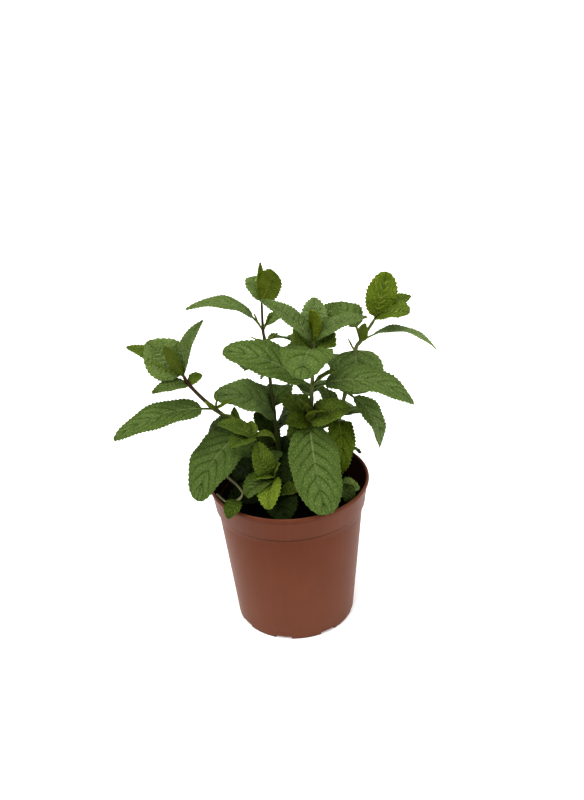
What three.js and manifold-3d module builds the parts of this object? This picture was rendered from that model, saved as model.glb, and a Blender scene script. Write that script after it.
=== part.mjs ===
// A mint plant in a plastic nursery pot: millimetres, +Z up, origin at the centre of the pot's underside.
// The plant's front, as it is usually looked at, faces -Y.
import * as THREE from "three";
import { mergeVertices } from "three/addons/utils/BufferGeometryUtils.js";
import Module from "manifold-3d";

const wasm = await Module();
wasm.setup();

// Pot
const RIM_RADIUS = 52.5;
const POT_HEIGHT = 103;
const FOOT_RADIUS = 39;
const FOOT_WIDTH = 3;
const FOOT_ROUND = 0.7; // the wall's round corner at the floor
const WALL = 1.5;
const BAND_BOTTOM = 85.5; // the rim band's lower edge
const BAND_STEP = 1.6; // how far the band stands out from the wall
const SHOULDER_RADIUS = 48; // the wall just under the band
const LIP = 1.1; // how far the lip stands out from the band
const LIP_HEIGHT = 3.2;
const BASE_RISE = 2.2; // the base plate's underside, above the feet
const BASE_THICKNESS = 2;
const PAD_RADIUS = 9; // the pad in the middle of the underside
const DRAFT = 1; // how far a moulded step leans over its height
const NOTCHES = 8;
const NOTCH_WIDTH = 11;
const NOTCH_TURN = -104; // degrees: the notch that shows at the front
const DRAIN_RADIUS = 3.5;
const DRAIN_CIRCLE = 28;
const DRAIN_SIDES = 10;
const POT_SIDES = 40;

// Compost
const COMPOST_TOP = 88;
const COMPOST_MOUND = 2;
const COMPOST_EDGE = 1.5; // how far its top slopes down to the wall
const COMPOST_BROW = 44.3; // the radius where its top begins to slope down
const COMPOST_SIDES = 24;
const ROOM = 0.3; // the gap between neighbouring solids
const FACET_ROOM = 0.15; // what the pot's flat facets take of that gap
const STEM_FOOT = 62; // how deep the stems reach

// Leaves
const BLADE = 0.65; // thickness at the margin
const KEEL = 1.15; // thickness at the midrib
const PETIOLE = 1.3; // width of a leaf stalk
const TIP_WIDTH = 0.7;
const TOOTH = 1; // how far a tooth stands out on a leaf of at least TOOTH_LEAF in width
const TOOTH_LEAF = 16;
const TOOTH_TIP = 0.72; // where a tooth points, between its two notches
const WIDEST = { rise: 0.55, fall: 0.8 }; // the outline's powers towards the stalk and towards the tip
const WAVES = { count: 2.5, start: 0.3 }; // the margin's waves along a leaf

// Materials
const LEAF_GREEN = 0x4c7a33;
const POT_BROWN = 0x8f4c38;
const PEAT_BLACK = 0x17120e;

const MERGE = 1e-4; // points this close are one
const v = (x, y, z) => new THREE.Vector3(x, y, z);

// One closed body from rings of points. A ring's points run round the section, and fan is the point that
// both ends are closed from. split[k] tells which way the squares between points k and k + 1 are halved.
function loft(rings, fan, split) {
  const count = rings[0].length;
  const points = rings.flat();
  const faces = [];
  for (let i = 0; i + 1 < rings.length; i++) {
    for (let k = 0; k < count; k++) {
      const a = i * count + k;
      const b = i * count + ((k + 1) % count);
      const c = b + count;
      const d = a + count;
      if (split[k]) faces.push(a, b, c, a, c, d);
      else faces.push(a, b, d, b, c, d);
    }
  }
  const last = (rings.length - 1) * count;
  for (let k = 1; k + 1 < count; k++) {
    const p = (fan + k) % count;
    const q = (fan + k + 1) % count;
    faces.push(fan, q, p);
    faces.push(last + fan, last + p, last + q);
  }
  const geometry = new THREE.BufferGeometry().setFromPoints(points);
  geometry.setIndex(faces);
  return geometry;
}

// The geometry as a solid with its faces pointing out.
function solid(geometry) {
  const bare = geometry.clone();
  for (const name of ["normal", "uv"]) bare.deleteAttribute(name);
  const merged = mergeVertices(bare, MERGE);
  const place = merged.attributes.position.array;
  const corners = Array.from(merged.index.array);
  const kept = [];
  let volume = 0;
  for (let i = 0; i < corners.length; i += 3) {
    const [a, b, c] = corners.slice(i, i + 3);
    if (a === b || b === c || c === a) continue;
    kept.push(a, b, c);
    const [p, q, r] = [a, b, c].map((n) => v(...place.slice(3 * n, 3 * n + 3)));
    volume += p.dot(q.cross(r));
  }
  if (volume < 0) kept.reverse();
  return new wasm.Manifold(
    new wasm.Mesh({ numProp: 3, vertProperties: place, triVerts: new Uint32Array(kept) }),
  );
}

// A named mesh from a solid.
function part(name, body, material) {
  const mesh = body.getMesh();
  const geometry = new THREE.BufferGeometry();
  geometry.setAttribute("position", new THREE.BufferAttribute(mesh.vertProperties, 3));
  geometry.setIndex(new THREE.BufferAttribute(mesh.triVerts, 1));
  geometry.computeVertexNormals();
  const made = new THREE.Mesh(geometry, material);
  made.name = name;
  return made;
}

// Bodies joined in one, with the hollows filled that the joining seals.
function fused(bodies) {
  const whole = bodies.reduce((all, next) => all.add(next));
  const shells = whole.decompose().filter((shell) => shell.volume() > 0);
  return shells.reduce((all, next) => all.add(next));
}

// A closed body turned from a section of [radius, height] pairs that starts and ends on the axis.
function turned(section, sides) {
  const profile = section.map(([radius, height]) => new THREE.Vector2(radius, height));
  return solid(new THREE.LatheGeometry(profile, sides).rotateX(Math.PI / 2));
}

// The outside of the pot's wall below the band, at a height.
function wallRadius(height) {
  const foot = FOOT_RADIUS + FOOT_ROUND;
  return foot + ((SHOULDER_RADIUS - foot) * height) / (BAND_BOTTOM - DRAFT);
}

function potBody() {
  const floor = BASE_RISE + BASE_THICKNESS;
  const band = SHOULDER_RADIUS + BAND_STEP;
  const lipBottom = POT_HEIGHT - LIP_HEIGHT;
  let pot = turned(
    [
      [0, 0],
      [PAD_RADIUS, 0],
      [PAD_RADIUS + DRAFT, BASE_RISE],
      [FOOT_RADIUS - FOOT_WIDTH - DRAFT / 2, BASE_RISE],
      [FOOT_RADIUS - FOOT_WIDTH, 0],
      [FOOT_RADIUS, 0],
      [FOOT_RADIUS + FOOT_ROUND, FOOT_ROUND],
      [SHOULDER_RADIUS, BAND_BOTTOM - DRAFT],
      [band, BAND_BOTTOM],
      [RIM_RADIUS - LIP, lipBottom],
      [RIM_RADIUS - LIP / 3, lipBottom + LIP / 2],
      [RIM_RADIUS, POT_HEIGHT - LIP],
      [RIM_RADIUS - LIP / 2, POT_HEIGHT],
      [RIM_RADIUS - LIP - WALL / 3, POT_HEIGHT],
      [RIM_RADIUS - LIP - WALL, lipBottom],
      [band - WALL, BAND_BOTTOM + DRAFT / 2],
      [SHOULDER_RADIUS - WALL, BAND_BOTTOM - DRAFT / 2],
      [wallRadius(floor) - WALL, floor],
      [0, floor],
    ],
    POT_SIDES,
  );
  for (let i = 0; i < NOTCHES; i++) {
    const turn = THREE.MathUtils.degToRad(NOTCH_TURN + (360 / NOTCHES) * i);
    const notch = new THREE.BoxGeometry(3 * FOOT_WIDTH, NOTCH_WIDTH, 2 * BASE_RISE);
    const drain = new THREE.CylinderGeometry(DRAIN_RADIUS, DRAIN_RADIUS, 4 * floor, DRAIN_SIDES);
    notch.translate(FOOT_RADIUS, 0, 0).rotateZ(turn);
    drain.rotateX(Math.PI / 2).translate(DRAIN_CIRCLE, 0, 0).rotateZ(turn);
    pot = pot.subtract(solid(notch)).subtract(solid(drain));
  }
  return pot;
}

// The compost and the roots in it: one plug that fills the pot to below its rim.
function compostBody() {
  const bottom = BASE_RISE + BASE_THICKNESS + ROOM;
  const shoulder = BAND_BOTTOM - COMPOST_EDGE;
  const inside = (height) => wallRadius(height) - WALL - ROOM - FACET_ROOM;
  return turned(
    [
      [0, bottom],
      [inside(bottom) - DRAFT, bottom],
      [inside(bottom + DRAFT), bottom + DRAFT],
      [inside(shoulder), shoulder],
      [inside(shoulder), COMPOST_TOP - COMPOST_EDGE],
      [COMPOST_BROW, COMPOST_TOP - COMPOST_EDGE / 3],
      [RIM_RADIUS / 2, COMPOST_TOP + COMPOST_MOUND / 2],
      [0, COMPOST_TOP + COMPOST_MOUND],
    ],
    COMPOST_SIDES,
  );
}

// A mint stem is square. It thins from its foot to its tip along the route, and spare widens it for the
// hole that it stands in.
function stemBody(stem, spare = 0) {
  const route = stem.route;
  const rings = route.map((point, i) => {
    const along = tangent(route, i);
    const side = v(along.z, 0, -along.x).normalize();
    const front = new THREE.Vector3().crossVectors(along, side);
    const share = i / (route.length - 1);
    const half = THREE.MathUtils.lerp(stem.thick[0], stem.thick[1], share) / 2 + spare;
    const middle = point.clone();
    if (i === 0) middle.addScaledVector(along, -spare);
    return [
      [-1, -1],
      [1, -1],
      [1, 1],
      [-1, 1],
    ].map(([a, b]) => middle.clone().addScaledVector(side, a * half).addScaledVector(front, b * half));
  });
  return solid(loft(rings, 0, [true, true, true, true]));
}

// The direction of a route at its point i.
function tangent(route, i) {
  const next = route[Math.min(i + 1, route.length - 1)];
  const last = route[Math.max(i - 1, 0)];
  return new THREE.Vector3().subVectors(next, last).normalize();
}

// Half the width of the leaf's blade, u of the way from its stalk to its tip.
function halfWidth(leaf, u) {
  const rise = WIDEST.rise * (1 - leaf.broad);
  const fall = WIDEST.fall * (1 - leaf.blunt);
  const top = rise / (rise + fall);
  const most = Math.pow(top, rise) * Math.pow(1 - top, fall);
  return (0.5 * leaf.wide * Math.pow(u, rise) * Math.pow(1 - u, fall)) / most;
}

// A leaf from base to tip: its stalk, then a toothed blade folded along the midrib.
// bow lifts its middle towards its upper side, and sway moves it sideways, both as a share of the length.
// roll turns the upper side about the leaf's length, in degrees. fold raises the margins, as a share of the
// half width. ripple waves the margins. blunt makes the tip rounder and broad the stalk's end, from 0 to 1.
function leafBody(base, up, leaf) {
  const chord = new THREE.Vector3().subVectors(leaf.tip, base);
  const length = chord.length();
  const along = chord.clone().normalize();
  const top = up.clone().addScaledVector(along, -up.dot(along)).normalize();
  top.applyAxisAngle(along, THREE.MathUtils.degToRad(leaf.roll));
  const side = new THREE.Vector3().crossVectors(along, top);
  const stations = [
    [0, PETIOLE / 2],
    [leaf.stalk, PETIOLE / 2],
  ];
  const share = 1 - leaf.stalk;
  const reach = TOOTH * Math.min(1, leaf.wide / TOOTH_LEAF);
  for (let k = 0; k < leaf.teeth; k++) {
    const notch = k / leaf.teeth;
    const tooth = (k + TOOTH_TIP) / leaf.teeth;
    if (k > 0) stations.push([leaf.stalk + share * notch, halfWidth(leaf, notch)]);
    stations.push([leaf.stalk + share * tooth, halfWidth(leaf, tooth) + reach]);
  }
  stations.push([1, TIP_WIDTH / 2]);
  const rings = stations.map(([t, half]) => {
    const lift = 4 * t * (1 - t);
    const slope = 4 * (1 - 2 * t);
    const middle = base.clone().addScaledVector(chord, t);
    middle.addScaledVector(top, leaf.bow * length * lift).addScaledVector(side, leaf.sway * length * lift);
    const run = along.clone().addScaledVector(top, leaf.bow * slope).normalize();
    const normal = new THREE.Vector3().crossVectors(side, run).normalize();
    const wave = leaf.ripple * half * Math.sin(2 * Math.PI * (WAVES.count * t + WAVES.start));
    const point = (across, height) =>
      middle.clone().addScaledVector(side, across * half).addScaledVector(normal, height);
    const edge = leaf.fold * half;
    const keel = t >= 1 ? BLADE : KEEL;
    return [
      point(-1, edge + wave),
      point(0, 0),
      point(1, edge - wave),
      point(1, edge - wave - BLADE),
      point(0, -keel),
      point(-1, edge + wave - BLADE),
    ];
  });
  return solid(loft(rings, 1, [false, true, true, false, true, true]));
}

// Row of a leaf: the route point that it grows from, its tip, its blade's width, and what is special to it.
const usual = {
  bow: 0.1, sway: 0, roll: 0, fold: 0.15, ripple: 0.08, stalk: 0.12, blunt: 0, broad: 0, teeth: 5,
};
const leaf = (at, tip, wide, special = {}) => ({ ...usual, at, tip: v(...tip), wide, ...special });
const young = { stalk: 0.05, teeth: 3, fold: 0.3, ripple: 0.05 };
const tiny = { stalk: 0.05, teeth: 2, fold: 0.35, ripple: 0, bow: -0.05 };

// Each stem's route starts below the compost, and its leaves stand in opposite pairs.
const STEMS = [
  {
    name: "stem_left",
    thick: [3.2, 1.7],
    route: [
      [-8, -3, STEM_FOOT], [-10, -4, 92], [-18, -5, 117], [-28, -5, 139], [-36, -5, 150], [-44, -6, 158.5],
      [-52, -7, 168], [-58, -8, 177], [-61, -8, 183],
    ],
    leaves: [
      leaf(1, [-33, 2, 97], 15, { bow: 0.12, teeth: 2 }),
      leaf(2, [-38, 7, 101], 14, { bow: 0.12, teeth: 3, roll: -50 }),
      leaf(3, [-50, 9, 137], 16, { bow: 0.2, teeth: 3, roll: -20 }),
      leaf(3, [-40, -9, 156.8], 7, { ...young, teeth: 2, roll: -20 }),
      leaf(3, [-32.5, 4, 153.9], 8, { ...young, teeth: 2, bow: 0.1 }),
      leaf(3, [-56.5, -46, 116.5], 32, {
        bow: 0.1, sway: 0.06, roll: -30, teeth: 7, stalk: 0, fold: 0.04, blunt: 0.35, broad: 0.6,
      }),
      leaf(5, [-107, -20, 148], 20, {
        bow: 0.14, roll: -24, teeth: 6, fold: 0.05, blunt: 0.15, broad: 0.2,
      }),
      leaf(5, [-42, -6, 168], 2.5, tiny),
      leaf(5, [-49, -12, 167], 3, tiny),
      leaf(5, [-33, -5, 164], 4, tiny),
      leaf(7, [-80, -18, 177.5], 11, { ...young, bow: 0.08, teeth: 4, roll: -25 }),
      leaf(7, [-50, -3, 181], 7, { ...young, bow: 0.22, roll: 40 }),
      leaf(8, [-83, 4, 202], 27, { ...young, bow: 0.04, teeth: 6, roll: -15, fold: 0.15 }),
      leaf(8, [-46.5, 0, 216], 9, { ...young, bow: 0.1, sway: -0.08, teeth: 4, roll: 45 }),
      leaf(8, [-97, 12, 196], 12, { ...young, bow: 0.1 }),
      leaf(8, [-70, -14, 206], 7, { ...young, bow: -0.05, blunt: 0.3 }),
      leaf(8, [-64, -2, 200], 6, tiny),
    ],
  },
  {
    name: "stem_back_left",
    thick: [3, 1.5],
    route: [
      [-3, 7, STEM_FOOT], [-4, 9, 92], [-6, 13, 118], [-7.5, 15, 143], [-9, 19, 170], [-10.6, 22, 191],
      [-11.3, 24, 198], [-11, 25, 216],
    ],
    leaves: [
      leaf(1, [0, 17, 124], 14, { bow: 0.1, teeth: 2, blunt: 0.3 }),
      leaf(2, [-30, 21, 109], 22, { bow: 0.1, teeth: 3, roll: -60 }),
      leaf(2, [-19.1, 22, 140.9], 14, { bow: 0.1, teeth: 4, roll: -30, blunt: 0.4 }),
      leaf(2, [8, 34, 104], 16, { bow: 0.2, teeth: 2 }),
      leaf(3, [-45, 6, 161], 26, { bow: 0.2, teeth: 6, stalk: 0.02, roll: -35, blunt: 0.3, broad: 0.45 }),
      leaf(3, [0, 44, 148], 20, { bow: 0.2, teeth: 2 }),
      leaf(4, [-26, 48, 160], 20, { bow: 0.2, teeth: 2 }),
      leaf(4, [-24, 2, 180], 7, { ...young, teeth: 3 }),
      leaf(5, [11, 34, 180], 15, { bow: 0.16, teeth: 4 }),
      leaf(5, [-2, 22, 196], 2.2, tiny),
      leaf(5, [-19, 20, 195], 2.2, tiny),
      leaf(6, [-58.5, 20, 216], 13, { bow: 0.24, teeth: 6, stalk: 0.18, fold: 0.1, roll: -20 }),
      leaf(6, [8, 26, 207], 9, { bow: 0.2, teeth: 4, stalk: 0.15, roll: 25 }),
      leaf(6, [-16, 24, 209], 2.2, tiny),
      leaf(6, [-6.5, 24, 209], 2.2, tiny),
      leaf(7, [-1.5, 18, 238.2], 15.5, { ...young, teeth: 5, blunt: 0.4, bow: 0.04, fold: 0.06, roll: -85 }),
      leaf(7, [-16, 36, 229.5], 14, { ...young, teeth: 4, blunt: 0.6, bow: 0.08, fold: 0.1 }),
      leaf(7, [-10.4, 28, 241], 5, { ...tiny, teeth: 3 }),
    ],
  },
  {
    name: "stem_centre",
    thick: [3.6, 1.8],
    route: [
      [9, -2, STEM_FOOT], [10, -4, 92], [12, -6, 118], [15, -9, 147.5], [17.4, -10, 171], [19, -12, 197],
      [19.6, -12, 203],
    ],
    leaves: [
      leaf(2, [-9, -15, 110], 19, { bow: 0.2, teeth: 3, blunt: 0.4, roll: -20 }),
      leaf(3, [21.5, -52, 105], 31.5, {
        bow: 0.14, sway: 0.06, teeth: 7, stalk: 0.08, fold: 0.04, blunt: 0.45, broad: 0.35,
      }),
      leaf(3, [1.5, -22, 143], 12, { ...young, blunt: 0.4, broad: 0.4, roll: -20 }),
      leaf(3, [8, 20, 128], 22, { bow: 0.2, teeth: 3 }),
      leaf(3, [-2, 10, 157], 19, { bow: 0.15, teeth: 3 }),
      leaf(3, [0, -15, 150], 13, { ...young, teeth: 4, bow: 0.15, roll: -30 }),
      leaf(3, [8, -18, 168], 11, { ...young, teeth: 4 }),
      leaf(3, [41, -14, 158], 17, { ...young, teeth: 4, bow: 0.14, roll: 35 }),
      leaf(3, [24, -24, 162], 9, { ...young, teeth: 3 }),
      leaf(4, [-36, -6, 197.5], 25, { bow: 0.15, teeth: 6, roll: -25, blunt: 0.25 }),
      leaf(4, [80, -15, 159], 23, { bow: 0.21, teeth: 6, roll: 14, blunt: 0.15, broad: 0.2 }),
      leaf(4, [33, -14, 184], 7, { ...young, teeth: 3 }),
      leaf(5, [10, -45, 194], 30, { bow: 0.22, teeth: 6, stalk: 0.06, blunt: 0.3 }),
      leaf(5, [22, 24, 214], 27, { bow: 0.1, teeth: 4, stalk: 0.02, fold: 0.3, broad: 0.88 }),
      leaf(6, [-10.5, -15, 232.5], 13, { ...young, teeth: 4, bow: 0.08, roll: -32 }),
      leaf(6, [52, -13, 217.5], 11, { ...young, teeth: 4, bow: 0.14, roll: 25 }),
      leaf(6, [21.5, 6, 224.5], 16, { ...young, teeth: 4 }),
      leaf(6, [19, -16, 225], 8.5, { ...young, blunt: 0.35 }),
      leaf(6, [34, 4, 221], 14, { ...young, roll: 25 }),
      leaf(6, [19, -8, 220], 6, tiny),
    ],
  },
  {
    name: "stem_right",
    thick: [3.2, 1.7],
    route: [
      [18, 2, STEM_FOOT], [20, 3, 92], [28, 4, 117], [34, 5, 140], [39, 5, 160], [46, 7, 187.5],
      [49.4, 8, 193], [58.6, 8, 207.5],
    ],
    leaves: [
      leaf(2, [48, 20, 106], 15, { bow: 0.2, teeth: 2 }),
      leaf(3, [30.5, -12, 107], 18, { bow: 0.16, teeth: 5, stalk: 0.02, blunt: 0.3, broad: 0.7 }),
      leaf(3, [21, 16, 160], 16, { bow: 0.1, teeth: 3 }),
      leaf(3, [48, 36, 128], 19, { bow: 0.2, teeth: 2 }),
      leaf(4, [60, 0, 121], 17, { bow: 0.2, teeth: 6, roll: 28 }),
      leaf(4, [32, 38, 172], 18, { bow: 0.16, teeth: 4 }),
      leaf(4, [28, 2, 176], 9, { ...young, teeth: 3 }),
      leaf(5, [46.5, 2, 159], 33, {
        bow: 0.05, teeth: 5, stalk: 0, fold: 0.05, roll: 75, blunt: 0.4, broad: 0.3,
      }),
      leaf(5, [42, 6, 196], 2.2, tiny),
      leaf(6, [96, 0, 188], 11, { bow: 0.22, teeth: 6, stalk: 0.16, roll: 5 }),
      leaf(6, [33, 26, 212], 18, { bow: 0.24, teeth: 4, stalk: 0.25, roll: -30 }),
      leaf(6, [52, 0, 208], 7, { ...tiny, teeth: 3 }),
      leaf(7, [66, 10, 237], 18.5, { ...young, teeth: 6, blunt: 0.3, bow: 0.04, fold: 0.12, roll: -75 }),
      leaf(7, [79, -1, 214], 16, { ...young, teeth: 4, blunt: 0.4, bow: 0.1, roll: 35 }),
      leaf(7, [82.5, 22, 216], 11, { ...young, bow: 0.1 }),
      leaf(7, [67, 16, 224], 6, tiny),
    ],
  },
  {
    name: "shoot_left",
    thick: [2.4, 1.4],
    route: [[-10, -13, STEM_FOOT], [-12, -14, 92], [-15.5, -17, 117], [-19, -21, 140], [-20, -23, 146.5]],
    leaves: [
      leaf(2, [-4, -4, 124], 13, { bow: 0.2, teeth: 3 }),
      leaf(1, [-39, -24, 101.5], 17, { bow: 0.12, sway: 0.1, teeth: 4, blunt: 0.3, roll: -15 }),
      leaf(4, [-41.1, -29, 159.7], 12, { ...young, teeth: 4, roll: -8 }),
      leaf(4, [-34.8, -38, 148], 12, { ...young, teeth: 4, roll: -10 }),
      leaf(4, [-21.7, -16, 153.7], 7, { ...young, teeth: 3 }),
      leaf(4, [-7, -19, 140], 5, { ...young, teeth: 2, bow: 0.3 }),
    ],
  },
  {
    name: "shoot_front",
    thick: [2.4, 1.4],
    route: [[-1, -21, STEM_FOOT], [-3, -23, 92], [-6, -27, 108], [-9, -31, 122]],
    leaves: [
      leaf(2, [-3, -45, 96.5], 20, { bow: 0.15, teeth: 4 }),
      leaf(2, [6, -34, 112], 11, { ...young }),
      leaf(3, [-18.5, -30, 146], 14, { ...young, sway: -0.11, teeth: 4, blunt: 0.2 }),
      leaf(3, [-22, -40, 126], 11, { ...young }),
      leaf(3, [-27, -40, 114], 16, { ...young, teeth: 4, blunt: 0.3, bow: 0.15 }),
      leaf(3, [-13, -51, 110.5], 14.5, { ...young, teeth: 4, blunt: 0.2, bow: 0.15 }),
      leaf(3, [-4.8, -33, 132.4], 7, { ...young, teeth: 3 }),
    ],
  },
  {
    name: "runner_left",
    thick: [1.5, 1.1],
    route: [
      [-31, 1, STEM_FOOT], [-33, -1, 92], [-41.3, -14, 115.5], [-37.1, -22, 116.7], [-32, -29, 115.1],
      [-29.2, -35, 113.2], [-32.1, -38, 110.5], [-38.7, -35, 107.2], [-45.9, -28, 109.7],
    ],
    leaves: [leaf(6, [-38.5, -48.5, 104], 10.5, { ...young, bow: 0.12, roll: -120 })],
  },
  {
    name: "shoot_right",
    thick: [2.2, 1.3],
    route: [[26, -13, STEM_FOOT], [28, -15, 92], [31, -18, 101], [33, -20, 107]],
    leaves: [
      leaf(3, [44.8, -21, 103.4], 10, { ...young, bow: 0.05, fold: 0.1, roll: 25, broad: 0.35 }),
      leaf(3, [24, -22, 117], 9, { ...young }),
      leaf(3, [37, -29, 97], 11, { ...young, bow: 0.2 }),
      leaf(3, [42, -13, 101], 8, { ...young }),
    ],
  },
  {
    name: "stem_back",
    thick: [3, 1.6],
    route: [[12, 18, STEM_FOOT], [13, 20, 92], [16, 27, 117], [18, 33, 142], [19, 37, 163], [19.5, 39, 176]],
    leaves: [
      leaf(2, [42, 50, 112], 20, { bow: 0.2, teeth: 2 }),
      leaf(2, [-14, 50, 112], 20, { bow: 0.2, teeth: 2 }),
      leaf(3, [-6, 37, 119], 20, { bow: 0.1, teeth: 2, roll: -35 }),
      leaf(3, [16, 78, 122], 22, { bow: 0.2, teeth: 2 }),
      leaf(4, [52, 56, 148], 19, { bow: 0.16, teeth: 2 }),
      leaf(4, [-16, 60, 146], 19, { bow: 0.16, teeth: 2 }),
      leaf(5, [20, 68, 176], 18, { ...young, teeth: 4, bow: 0.15 }),
      leaf(5, [36, 44, 184], 11, { ...young }),
      leaf(5, [4, 44, 184], 11, { ...young }),
    ],
  },
];

const material = (color, roughness) => new THREE.MeshStandardMaterial({ color, roughness, metalness: 0 });
const leafGreen = material(LEAF_GREEN, 0.6);
const terracotta = material(POT_BROWN, 0.45);
const peat = material(PEAT_BLACK, 1);

const plant = new THREE.Group();
let compost = compostBody();
plant.add(part("pot", potBody(), terracotta));
for (const stem of STEMS) {
  stem.route = stem.route.map((point) => v(...point));
  compost = compost.subtract(stemBody(stem, ROOM));
  const leaves = stem.leaves.map((one) => leafBody(stem.route[one.at], tangent(stem.route, one.at), one));
  plant.add(part(stem.name, fused([stemBody(stem), ...leaves]), leafGreen));
}
plant.add(part("compost", compost, peat));

export default plant;
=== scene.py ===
"""A potted mint plant: the fine plant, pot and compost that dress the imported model."""
import logging
import math
import random
from dataclasses import dataclass, fields
from enum import Enum
from functools import partial
from typing import Any, Iterable, Sequence

import bmesh
import bpy
from bmesh.types import BMEdge, BMesh, BMVert
from bpy.types import ID, Material, Node, NodeSocket, Object
from mathutils import Matrix, Vector, noise


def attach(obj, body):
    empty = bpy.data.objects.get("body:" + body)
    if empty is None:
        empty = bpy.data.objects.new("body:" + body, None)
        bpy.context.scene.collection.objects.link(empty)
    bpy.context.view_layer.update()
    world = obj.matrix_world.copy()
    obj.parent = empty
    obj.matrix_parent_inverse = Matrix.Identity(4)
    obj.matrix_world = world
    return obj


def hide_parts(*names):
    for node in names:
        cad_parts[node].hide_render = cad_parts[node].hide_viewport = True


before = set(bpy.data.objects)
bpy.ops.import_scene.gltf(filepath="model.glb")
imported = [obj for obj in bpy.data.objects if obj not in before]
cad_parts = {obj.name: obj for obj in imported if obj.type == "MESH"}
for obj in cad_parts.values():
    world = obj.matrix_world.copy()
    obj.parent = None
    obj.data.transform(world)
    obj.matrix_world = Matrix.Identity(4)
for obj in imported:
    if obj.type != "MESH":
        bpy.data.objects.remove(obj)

log = logging.getLogger("mint")

Colour = tuple[float, float, float, float]
Point = tuple[float, float, float]

MM = 0.001
BODY = "root"
NOISE_MEAN = 0.5


class Side(Enum):
    """Which skin of a blade a vertex lies on."""

    UPPER = 0.0
    LOWER = 1.0


class Slot(Enum):
    """Names of the material slots."""

    POT = "terracotta_plastic"
    COMPOST = "compost"
    FOLIAGE = "foliage"


# Shader tools


class Signal:
    """A shader socket that arithmetic can be written on."""

    def __init__(self, kit: "NodeKit", socket: NodeSocket) -> None:
        self.kit = kit
        self.socket = socket

    def __add__(self, other: Any) -> "Signal":
        """Sum."""
        return self.kit.math("ADD", self, other)

    def __radd__(self, other: Any) -> "Signal":
        """Sum, the other way round."""
        return self.kit.math("ADD", other, self)

    def __sub__(self, other: Any) -> "Signal":
        """Difference."""
        return self.kit.math("SUBTRACT", self, other)

    def __rsub__(self, other: Any) -> "Signal":
        """Difference, the other way round."""
        return self.kit.math("SUBTRACT", other, self)

    def __mul__(self, other: Any) -> "Signal":
        """Product."""
        return self.kit.math("MULTIPLY", self, other)

    def __rmul__(self, other: Any) -> "Signal":
        """Product, the other way round."""
        return self.kit.math("MULTIPLY", other, self)

    def __pow__(self, other: Any) -> "Signal":
        """Power."""
        return self.kit.math("POWER", self, other)

    def __abs__(self) -> "Signal":
        """Size without the sign."""
        return self.kit.math("ABSOLUTE", self)

    def clamped(self) -> "Signal":
        """Keep the value between 0 and 1."""
        return self.kit.math("MINIMUM", self.kit.math("MAXIMUM", self, 0.0), 1.0)

    def ramp(self, start: float, end: float) -> "Signal":
        """Rise from 0 to 1 as the value goes from the start to the end, up or down."""
        slope = 1.0 / (end - start)
        return (self * slope - start * slope).clamped()


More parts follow.
